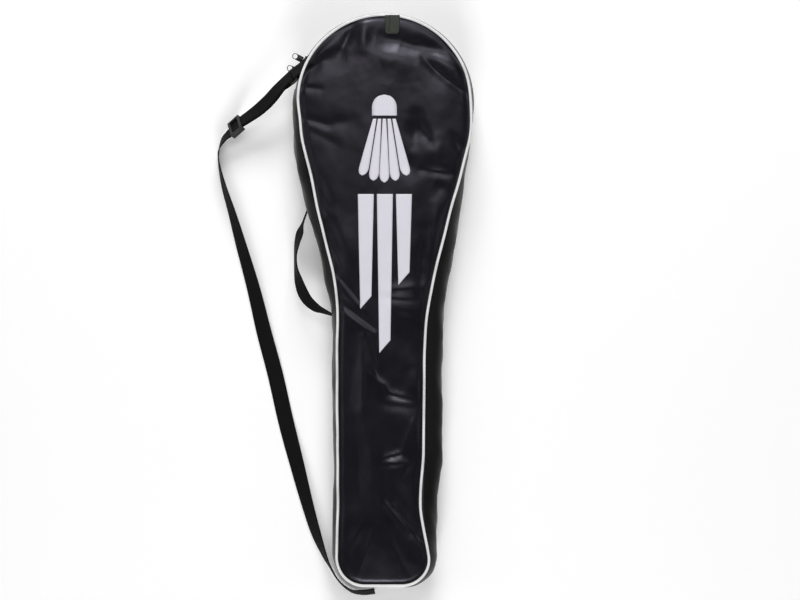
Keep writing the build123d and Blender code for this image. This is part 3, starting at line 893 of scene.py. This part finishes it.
tail = [strap_spot(ADJUSTER_PLACE + 0.008, 0.0019), strap_spot(0.090, 0.0019)]
tail += [slack(strap_spot(along, 0.0021), along) for along in (0.076, 0.060, 0.044, 0.028)]
tail += [strap_spot(0.010, 0.0022)]
for angle in range(90, 271, 20):
    bend = radians(angle)
    tail.append(strap_spot(RING_PITCH / 2 + WRAP_LENGTH * cos(bend), WRAP_DEPTH * sin(bend)))
tail += [strap_spot(0.010, -0.0019), strap_spot(0.016, -0.0004), slack(strap_spot(0.022, 0.0), 0.022)]
tail_run = smooth_run([tuple(p) for p in tail], 0.0015)
tail_across = np.array([strap_across(float((p - RING_CENTRE) @ ALONG)) for p in tail_run])

STRAP_PLAN = [
    (-0.2100, -0.0580, 86),
    (-0.2104, -0.0730, 84),
    (-0.2044, -0.1020, 72),
    (-0.1938, -0.1370, 60),
    (-0.1816, -0.1800, 45),
    (-0.1664, -0.2340, 30),
    (-0.1530, -0.2900, 14),
    (-0.1388, -0.3440, 5),
    (-0.1252, -0.4040, 5),
    (-0.1106, -0.4600, 22),
    (-0.0976, -0.5090, 38),
    (-0.0868, -0.5450, 50),
    (-0.0772, -0.5700, 68),
]
FOOT_PLAN = [
    (-0.0690, -0.5870, 80),
    (-0.0580, -0.6050, 82),
    (-0.0430, -0.6175, 76),
    (-0.0280, -0.6200, 66),
    (-0.0120, -0.6185, 64),
]
stations = [
    (*slack(strap_spot(along, 0), along), strap_roll(along), WEB_WIDTH)
    for along in (0.022, 0.036, 0.050, 0.064, 0.078, 0.096)
]
stations += [(*strap_spot(0.112, 0), 58, WEB_WIDTH), (-0.2048, -0.0462, 0.0112, 70, WEB_WIDTH)]
stations += [(x, y, resting(roll), roll, WEB_WIDTH) for x, y, roll in STRAP_PLAN]
stations += [(x, y, resting(roll) + 0.0025, roll, WEB_WIDTH) for x, y, roll in FOOT_PLAN]
main_run = smooth_run(stations, 0.0025)
strap_path = np.vstack([tail_run[:-1], main_run[:, :3]])
strap_sides = np.vstack([tail_across[:-1], rolled(main_run)])
strap_widths = np.full(len(strap_path), WEB_WIDTH)
shoulder_strap = ribbon("shoulder_strap", strap_path, strap_sides, strap_widths)
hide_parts("strap_webbing", "strap_return", "strap_anchor")
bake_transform(shoulder_strap)

# The tab that holds the ring: webbing doubled over the ring's upper bar, its two ends
# sewn into the seam under the piping.
tab = [strap_spot(-0.0330, 0.0010), strap_spot(-0.0200, 0.0010), strap_spot(-0.0095, 0.0020)]
for angle in range(90, -91, -20):
    bend = radians(angle)
    tab.append(strap_spot(-RING_PITCH / 2 + WRAP_LENGTH * cos(bend), WRAP_DEPTH * sin(bend)))
tab += [strap_spot(-0.0095, -0.0018), strap_spot(-0.0200, -0.0008), strap_spot(-0.0330, -0.0008)]
tab_run = smooth_run([tuple(p) for p in tab], 0.0015)
tab_sides = np.tile(ACROSS, (len(tab_run), 1))
tab_ribbon = ribbon("ring_tab_webbing", tab_run, tab_sides, np.full(len(tab_run), WEB_WIDTH))
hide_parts("strap_tab")
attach(tab_ribbon, "case")

# ---------------------------------------------------------------------------------------
# CARRY HANDLE. A short length of the webbing on the side of the bag, its ends folded
# narrow and caught in the gusset, twisted so that it stands nearly on edge half way down.
HANDLE_HEIGHT = 0.031
HANDLE_UPPER = [
    (-0.0950, -0.1290, 84, 0.009),
    (-0.0985, -0.1400, 80, 0.009),
    (-0.1028, -0.1520, 76, 0.011),
]
HANDLE_MIDDLE = [
    (-0.1062, -0.1630, 60, 0.018),
    (-0.1100, -0.1780, 70, 0.020),
    (-0.1119, -0.1930, 80, 0.020),
    (-0.1112, -0.2090, 76, 0.020),
    (-0.1080, -0.2240, 58, 0.020),
    (-0.1030, -0.2385, 46, 0.020),
    (-0.0960, -0.2500, 42, 0.018),
]
HANDLE_LOWER = [
    (-0.0860, -0.2585, 42, 0.015),
    (-0.0770, -0.2625, 52, 0.011),
    (-0.0640, -0.2680, 74, 0.009),
]
handle_stations = [
    (x, y, HANDLE_HEIGHT, roll, width)
    for x, y, roll, width in HANDLE_UPPER + HANDLE_MIDDLE + HANDLE_LOWER
]
handle_run = smooth_run(handle_stations, 0.0015)
handle_across = rolled(handle_run)
upper_cut = int(np.argmin(np.abs(handle_run[:, 1] + 0.160)))
lower_cut = int(np.argmin(np.hypot(handle_run[:, 0] + 0.0905, handle_run[:, 1] + 0.2550)))


def handle_length(name, start, end):
    """The webbing between two places of the run."""
    part = slice(start, end)
    return ribbon(name, handle_run[part, :3], handle_across[part], handle_run[part, 4])


handle_web = handle_length("carry_handle_webbing", upper_cut, lower_cut + 1)
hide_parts("handle")
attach(handle_web, "handle")
upper_web = handle_length("carry_handle_upper_end", None, upper_cut + 1)
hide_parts("handle_end_upper")
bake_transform(upper_web)
lower_web = handle_length("carry_handle_lower_end", lower_cut, None)
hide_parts("handle_end_lower")
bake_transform(lower_web)

# ---------------------------------------------------------------------------------------
# HANGING LOOP. A short length of narrower webbing folded over on itself, both ends sewn
# into the seam at the top of the head, lying down on the front panel.
LOOP_WIDTH = 0.0130
loop_spots = [(0.0075, 0.1072), (0.0076, 0.0970), (0.0080, 0.0880)]
under = panel_height(np.array(loop_spots))
loop_path = [(x, y, SEAM_HEIGHT + h + 0.0012) for (x, y), h in zip(loop_spots, under)]
loop_path[0] = (*loop_spots[0], SEAM_HEIGHT + 0.0008)
turn_z = loop_path[-1][2]
loop_path += [
    (0.0088, 0.0850, turn_z + 0.0004),
    (0.0104, 0.0842, turn_z + 0.0013),
    (0.0118, 0.0852, turn_z + 0.0022),
    (0.0126, 0.0885, turn_z + 0.0024),
    (0.0130, 0.0975, turn_z + 0.0021),
    (0.0132, 0.1072, SEAM_HEIGHT + 0.0022),
]
loop_run = smooth_run(loop_path, 0.001)
loop_ribbon = ribbon(
    "hanging_loop_webbing",
    loop_run,
    np.tile([1.0, 0.0, 0.0], (len(loop_run), 1)),
    np.full(len(loop_run), LOOP_WIDTH),
    thickness=0.0012,
    finish=webbing_olive,
)
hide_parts("hang_loop")
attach(loop_ribbon, "flap")


# ---------------------------------------------------------------------------------------
# HARD PARTS. The ring and adjuster are moulded black acetal, the sliders painted zinc, and
# the pulls moulded rubber round a plated ring. All but the tabs are the frame's own shapes;
# the ring, adjuster and sliders have their sharp edges eased.
def hard_finish(name, tone, roughness, metallic=0.0, marks=0.12, grain=0.08, shine=0.5):
    """Moulded or plated surface: a fine grain, with its tone and gloss worn in patches."""
    material, nodes, links, surface = new_finish(name)
    surface.inputs["Metallic"].default_value = metallic
    surface.inputs["Specular IOR Level"].default_value = shine
    place = nodes.new("ShaderNodeTexCoord")
    wear = nodes.new("ShaderNodeTexNoise")
    wear.inputs["Scale"].default_value = 260.0
    wear.inputs["Detail"].default_value = 6.0
    fine = nodes.new("ShaderNodeTexNoise")
    fine.inputs["Scale"].default_value = 2400.0
    for texture in (wear, fine):
        links.new(place.outputs["Object"], texture.inputs["Vector"])
    colour = nodes.new("ShaderNodeMix")
    colour.data_type = "RGBA"
    colour.inputs["A"].default_value = (*[c * (1 - marks) for c in tone], 1)
    colour.inputs["B"].default_value = (*[c * (1 + 2 * marks) for c in tone], 1)
    links.new(wear.outputs["Fac"], colour.inputs["Factor"])
    links.new(colour.outputs["Result"], surface.inputs["Base Color"])
    rough = nodes.new("ShaderNodeMapRange")
    rough.inputs["To Min"].default_value = max(roughness - 0.08, 0.05)
    rough.inputs["To Max"].default_value = roughness + 0.10
    links.new(wear.outputs["Fac"], rough.inputs["Value"])
    links.new(rough.outputs["Result"], surface.inputs["Roughness"])
    bump = nodes.new("ShaderNodeBump")
    bump.inputs["Strength"].default_value = grain
    bump.inputs["Distance"].default_value = 0.0001
    links.new(fine.outputs["Fac"], bump.inputs["Height"])
    links.new(bump.outputs["Normal"], surface.inputs["Normal"])
    return material


def eased(node, name, finish, body, edge):
    """A copy of a hard frame part with its sharp edges rounded."""
    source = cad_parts[node]
    piece = source.copy()
    piece.data = source.data.copy()
    piece.name = name
    piece.data.name = name
    for key in list(piece.keys()):
        del piece[key]
    bpy.context.scene.collection.objects.link(piece)
    placed = source.matrix_world.copy()
    piece.parent = None
    piece.data.transform(placed)
    piece.matrix_world.identity()
    select_only(piece)
    bpy.ops.object.mode_set(mode="EDIT")
    bpy.ops.mesh.select_all(action="SELECT")
    bpy.ops.mesh.remove_doubles(threshold=0.000004)
    bpy.ops.mesh.dissolve_limited(angle_limit=radians(1))
    bpy.ops.mesh.normals_make_consistent(inside=False)
    bpy.ops.object.mode_set(mode="OBJECT")
    bevel = piece.modifiers.new("edges", "BEVEL")
    bevel.width = edge
    bevel.segments = 2
    bevel.limit_method = "ANGLE"
    bevel.angle_limit = radians(40)
    apply_modifiers(piece)
    piece.select_set(True)
    bpy.context.view_layer.objects.active = piece
    bpy.ops.object.shade_smooth_by_angle(angle=radians(35))
    piece.select_set(False)
    piece.data.materials.clear()
    piece.data.materials.append(finish)
    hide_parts(node)
    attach(piece, body)
    return piece


acetal = hard_finish("buckle_acetal", (0.030, 0.031, 0.032), 0.46, shine=0.16)
slider_black = hard_finish("slider_black", (0.010, 0.010, 0.011), 0.36, shine=0.3)
plated = hard_finish("plated_wire", (0.16, 0.16, 0.165), 0.35, metallic=1.0)
pull_rubber = hard_finish("pull_rubber", (0.006, 0.006, 0.0065), 0.5, grain=0.2)
eased("loop_ring", "ring_moulded", acetal, "ring", 0.0003)
eased("adjuster", "adjuster_moulded", acetal, "adjuster", 0.0005)
PULL_REACH = 0.0106  # from a pull's pivot to the middle of its ring
PULL_TAB = (0.0004, 0.0088)  # the tab's two ends, from the pivot
PULL_WIDTH = 0.0076
PULL_THICK = 0.0022
PULL_CUT = 0.0029


def pull_tab(side):
    """A flat moulded tab whose end is scooped out round the ring."""
    corners = [Vector(corner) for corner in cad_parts[f"pull_ring_{side}"].bound_box]
    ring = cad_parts[f"pull_ring_{side}"].matrix_world @ (sum(corners, Vector()) / 8)
    out = Vector((ring.x, ring.y, 0)).normalized()
    middle = ring - out * (PULL_REACH - sum(PULL_TAB) / 2)
    bpy.ops.object.select_all(action="DESELECT")
    bpy.ops.mesh.primitive_cylinder_add(vertices=32, radius=PULL_CUT, depth=0.01, location=ring)
    cutter = bpy.context.object
    bpy.ops.mesh.primitive_cube_add(size=1, location=middle, rotation=(0, 0, atan2(out.y, out.x)))
    tab = bpy.context.object
    tab.name = f"pull_tab_{side}_moulded"
    tab.scale = (PULL_TAB[1] - PULL_TAB[0], PULL_WIDTH, PULL_THICK)
    bpy.ops.object.transform_apply(location=True, rotation=True, scale=True)
    scoop = tab.modifiers.new("scoop", "BOOLEAN")
    scoop.operation = "DIFFERENCE"
    scoop.object = cutter
    scoop.solver = "EXACT"
    bevel = tab.modifiers.new("edges", "BEVEL")
    bevel.width = 0.0005
    bevel.segments = 3
    bevel.limit_method = "ANGLE"
    bevel.angle_limit = radians(40)
    apply_modifiers(tab)
    bpy.data.objects.remove(cutter)
    tab.select_set(True)
    bpy.ops.object.shade_smooth_by_angle(angle=radians(35))
    tab.select_set(False)
    tab.data.materials.append(pull_rubber)
    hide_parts(f"pull_tab_{side}")
    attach(tab, f"pull_{side}")


for side in ("right", "left"):
    eased(f"slider_{side}", f"slider_{side}_body", slider_black, f"slider_{side}", 0.0003)
    pull_tab(side)
    for wire, finish in (("link", slider_black), ("ring", plated)):
        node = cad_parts[f"pull_{wire}_{side}"]
        node.data.materials.clear()
        node.data.materials.append(finish)

# ---------------------------------------------------------------------------------------
# ZIP. Two woven tapes with a nylon coil sewn on each, meshed round the head, with a stop
# and a nylon patch at each end.
zip_tape = hard_finish("zip_tape_weave", (0.010, 0.010, 0.011), 0.75, grain=0.5)
coil_nylon = hard_finish("zip_coil_nylon", (0.016, 0.016, 0.018), 0.36)
binding_tape = hard_finish("binding_weave", (0.018, 0.018, 0.018), 0.8, grain=0.6)
patch_nylon = hard_finish("patch_nylon", (0.012, 0.012, 0.0125), 0.5, grain=0.4)
COIL_RADIUS = 0.1126  # of the coil's middle about the head's centre
COIL_PITCH = 0.0013
COIL_REACH = 0.0017  # half the coil's width, enough to mesh with the other one
COIL_DEPTH = 0.0005
COIL_WIRE = 0.00026
ZIP_MIDDLE = 0.0310


def wound_coil(name, start, end, height, phase):
    """A flattened spiral of nylon along the zip between two directions in degrees."""
    turns = int(radians(end - start) * COIL_RADIUS / COIL_PITCH)
    steps, sides = 10, 5
    count = turns * steps + 1
    around = np.linspace(0, turns, count) * 2 * pi + phase
    heading = np.radians(start) + np.linspace(0, radians(end - start), count)
    reach = COIL_RADIUS + COIL_DEPTH * np.cos(around)
    rise = height + COIL_REACH * np.sin(around)
    path = np.column_stack([reach * np.cos(heading), reach * np.sin(heading), rise])
    along = headings(path)
    outward = np.column_stack([np.cos(heading), np.sin(heading), 0 * heading])
    aside = np.cross(along, outward)
    aside /= np.linalg.norm(aside, axis=1)[:, None]
    upright = np.cross(aside, along)
    points, uv, faces = [], [], []
    for i in range(count):
        for side in range(sides):
            angle = 2 * pi * side / sides
            off = aside[i] * cos(angle) + upright[i] * sin(angle)
            points.append(path[i] + COIL_WIRE * off)
            uv.append((i * 0.0004, side * 0.0003))
    for i in range(count - 1):
        for side in range(sides):
            a, b = i * sides + side, i * sides + (side + 1) % sides
            faces.append((a, b, b + sides, a + sides))
    faces.append(tuple(range(sides - 1, -1, -1)))
    faces.append(tuple((count - 1) * sides + side for side in range(sides)))
    piece = cloth_mesh(name, points, faces, uv)
    face_out(piece)
    piece.data.materials.append(coil_nylon)
    return piece


BACK_COIL, FRONT_COIL = ZIP_MIDDLE - 0.0016, ZIP_MIDDLE + 0.0016
for node, body, start, end, height, phase in (
    ("zip_coil_back", "case", -8, 171, BACK_COIL, 0.0),
    ("zip_coil_flap", "flap", -8, 148.7, FRONT_COIL, pi),
    ("zip_coil_end", "case", 148.9, 171, FRONT_COIL, pi),
):
    coil = wound_coil(f"{node}_wound", start, end, height, phase)
    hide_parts(node)
    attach(coil, body)

# The strips are stitched to the tapes, one row of thread along each edge.
thread_black = hard_finish("thread_black", (0.030, 0.030, 0.032), 0.7, grain=0.5)
STITCH = 0.0022
STITCH_GAP = 0.0010
THREAD = 0.00032


def found_at(rows, lengths, at):
    """The row at a length along, between the two nearest."""
    return np.array([np.interp(at, lengths, rows[:, k]) for k in range(3)])


def stitches(name, path, outward):
    """A row of short thread stitches along a path, standing just off the cloth."""
    lengths = np.concatenate([[0], np.cumsum(np.linalg.norm(np.diff(path, axis=0), axis=1))])
    points, uv, faces = [], [], []
    place = STITCH_GAP
    while place + STITCH < lengths[-1]:
        ring_start = len(points)
        for share, swell in ((0.0, 0.15), (0.15, 0.8), (0.5, 1.0), (0.85, 0.8), (1.0, 0.15)):
            at = place + STITCH * share
            spot = found_at(path, lengths, at)
            ahead = found_at(path, lengths, at + 0.0002) - spot
            out = found_at(outward, lengths, at)
            aside = np.cross(ahead, out)
            aside /= np.linalg.norm(aside)
            for side in range(6):
                angle = 2 * pi * side / 6
                off = aside * cos(angle) + out * sin(angle)
                points.append(spot + THREAD * swell * off + out * THREAD * 0.5)
                uv.append((at, side * 0.0002))
        for ring in range(4):
            for side in range(6):
                a, b = ring_start + ring * 6 + side, ring_start + ring * 6 + (side + 1) % 6
                faces.append((a, b, b + 6, a + 6))
        faces.append(tuple(range(ring_start + 5, ring_start - 1, -1)))
        faces.append(tuple(range(ring_start + 24, ring_start + 30)))
        place += STITCH + STITCH_GAP
    piece = cloth_mesh(name, points, faces, uv)
    face_out(piece)
    piece.data.materials.append(thread_black)
    return piece


def strip_row(low, high, sag, row):
    """The line up one row of a gusset strip, and which way it faces."""
    points, _ = wall_between(zip_places, low, high, ZIP_LOW, ZIP_HIGH, 10, sag)
    path = np.array(points)[row::11]
    outward = np.column_stack([path[:, 0], path[:, 1], 0 * path[:, 0]])
    return path, outward / np.linalg.norm(outward, axis=1)[:, None]


row = stitches("strip_back_stitches", *strip_row(WALL_FOOT, ZIP_LOW, 0.0012, 9))
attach(row, "case")
row = stitches("strip_front_stitches", *strip_row(ZIP_HIGH, WALL_TOP, 0.0008, 1))
across_the_fold(row)

# A box of stitches holds the doubled tab.
BOX_NEAR, BOX_FAR = -0.0105, -0.0185
BOX_LIFT = 0.0018
bars = np.linspace(-0.008, 0.008, 9)
sides = np.linspace(BOX_FAR, BOX_NEAR, 6)
box = []
for along in (BOX_NEAR, BOX_FAR):
    box.append([strap_spot(along, BOX_LIFT) + ACROSS * share for share in bars])
for aside in (-0.0072, 0.0072):
    box.append([strap_spot(step, BOX_LIFT) + ACROSS * aside for step in sides])
for number, spots in enumerate(box):
    outward = np.tile(FACE, (len(spots), 1))
    row = stitches(f"ring_tab_stitches_{number + 1}", np.array(spots), outward)
    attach(row, "case")

for names, finish in (
    (("zip_tape_back", "zip_tape_flap", "zip_tape_end"), zip_tape),
    (("zip_stops",), plated),
    (("zip_cover_left", "zip_cover_right"), patch_nylon),
    (("binding_back", "binding_front", "binding_flap"), binding_tape),
):
    for name in names:
        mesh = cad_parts[name].data
        mesh.materials.clear()
        mesh.materials.append(finish)

# ---------------------------------------------------------------------------------------
# STUDIO. A pale floor, soft boxes past the head and past the foot, and a camera looking
# straight down.
bpy.ops.object.select_all(action="DESELECT")
bpy.ops.mesh.primitive_plane_add(size=14, location=(0, -0.25, -0.0005))
floor = bpy.context.object
floor.name = "floor"
floor_paint = bpy.data.materials.new("floor_paint")
floor_paint.use_nodes = True
floor_surface = floor_paint.node_tree.nodes["Principled BSDF"]
floor_surface.inputs["Base Color"].default_value = (0.93, 0.93, 0.93, 1)
floor_surface.inputs["Roughness"].default_value = 0.9
floor_surface.inputs["Emission Color"].default_value = (1, 1, 1, 1)
floor_surface.inputs["Emission Strength"].default_value = 0.16
floor.data.materials.append(floor_paint)


def soft_box(name, location, target, width, length, power):
    lamp = bpy.data.lights.new(name, "AREA")
    lamp.shape = "RECTANGLE"
    lamp.size = width
    lamp.size_y = length
    lamp.energy = power
    holder = bpy.data.objects.new(name, lamp)
    holder.location = location
    holder.rotation_euler = (Vector(target) - Vector(location)).to_track_quat("-Z", "Y").to_euler()
    bpy.context.scene.collection.objects.link(holder)


soft_box("head_light", (0.02, 0.85, 2.3), (0, -0.1, 0), 1.2, 0.8, 12)
soft_box("foot_light", (-0.05, -1.60, 2.2), (0, -0.35, 0), 1.2, 0.5, 1.6)
soft_box("far_head_light", (0.0, 2.6, 1.6), (0, -0.1, 0), 1.4, 1.0, 74)
soft_box("far_foot_light", (0.0, -3.1, 1.6), (0, -0.4, 0), 1.4, 1.0, 66)
soft_box("left_light", (-1.9, -0.3, 1.8), (0, -0.25, 0), 0.6, 1.6, 5)
soft_box("right_light", (2.2, -0.4, 1.6), (0, -0.25, 0), 0.6, 1.6, 4)
world = bpy.data.worlds.new("studio")
world.use_nodes = True
world.node_tree.nodes["Background"].inputs["Color"].default_value = (1, 1, 1, 1)
world.node_tree.nodes["Background"].inputs["Strength"].default_value = 0.035
bpy.context.scene.world = world
bpy.context.scene.view_settings.view_transform = "Standard"

CAMERA_ABOVE = 3.0
camera_data = bpy.data.cameras.new("camera")
camera_data.sensor_width = 36.0
camera_data.lens = 36.0 * CAMERA_ABOVE / 1.0
camera_data.clip_end = 30
camera = bpy.data.objects.new("camera", camera_data)
camera.location = (0.020, -0.24875, SEAM_HEIGHT + CAMERA_ABOVE)
camera.rotation_euler = (0, 0, 0)
bpy.context.scene.collection.objects.link(camera)
bpy.context.scene.camera = camera
